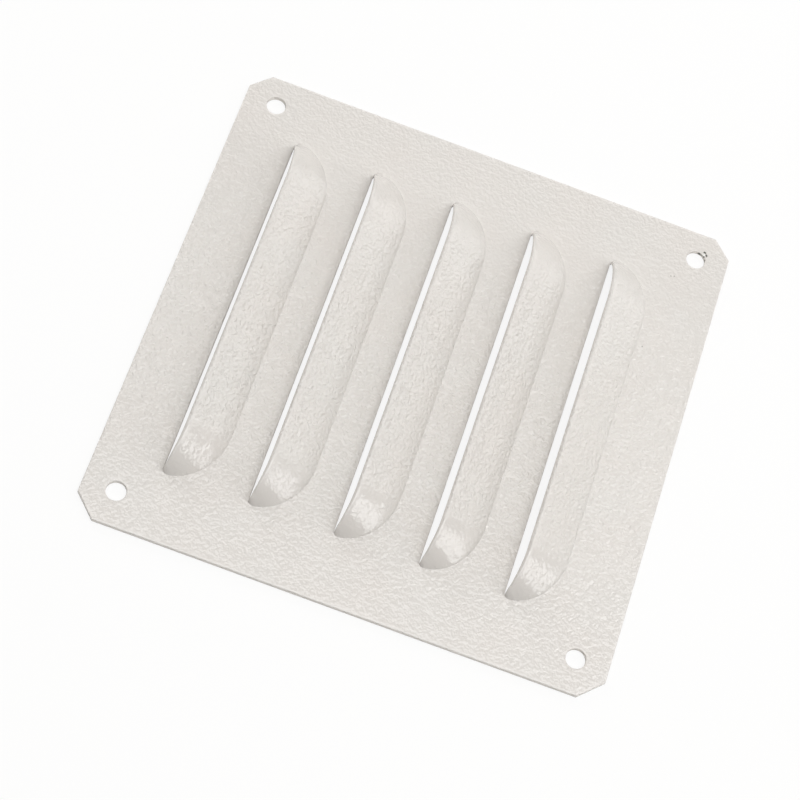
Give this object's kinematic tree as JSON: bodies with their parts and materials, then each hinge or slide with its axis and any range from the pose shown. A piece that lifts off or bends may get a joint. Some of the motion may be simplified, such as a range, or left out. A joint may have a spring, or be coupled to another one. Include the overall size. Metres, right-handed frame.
{
  "type": "enclosure vent grille",
  "caption": "Square pressed-steel vent grille for an enclosure wall, with a row of hooded louvres and a screw hole near each cut corner.",
  "frame": {"origin": "middle of the square pattern of screw holes, on the flat back of the sheet", "axes": "+Z out of the front, the way the louvres rise; +Y along the louvres, up in use; the louvres open towards -X"},
  "size_m": [0.12, 0.12, 0.0077],
  "materials": {
    "coated_steel": "glossy textured powder coat, warm light grey"
  },
  "bodies": {
    "root": {"louvred_sheet": "coated_steel"}
  },
  "joints": []
}
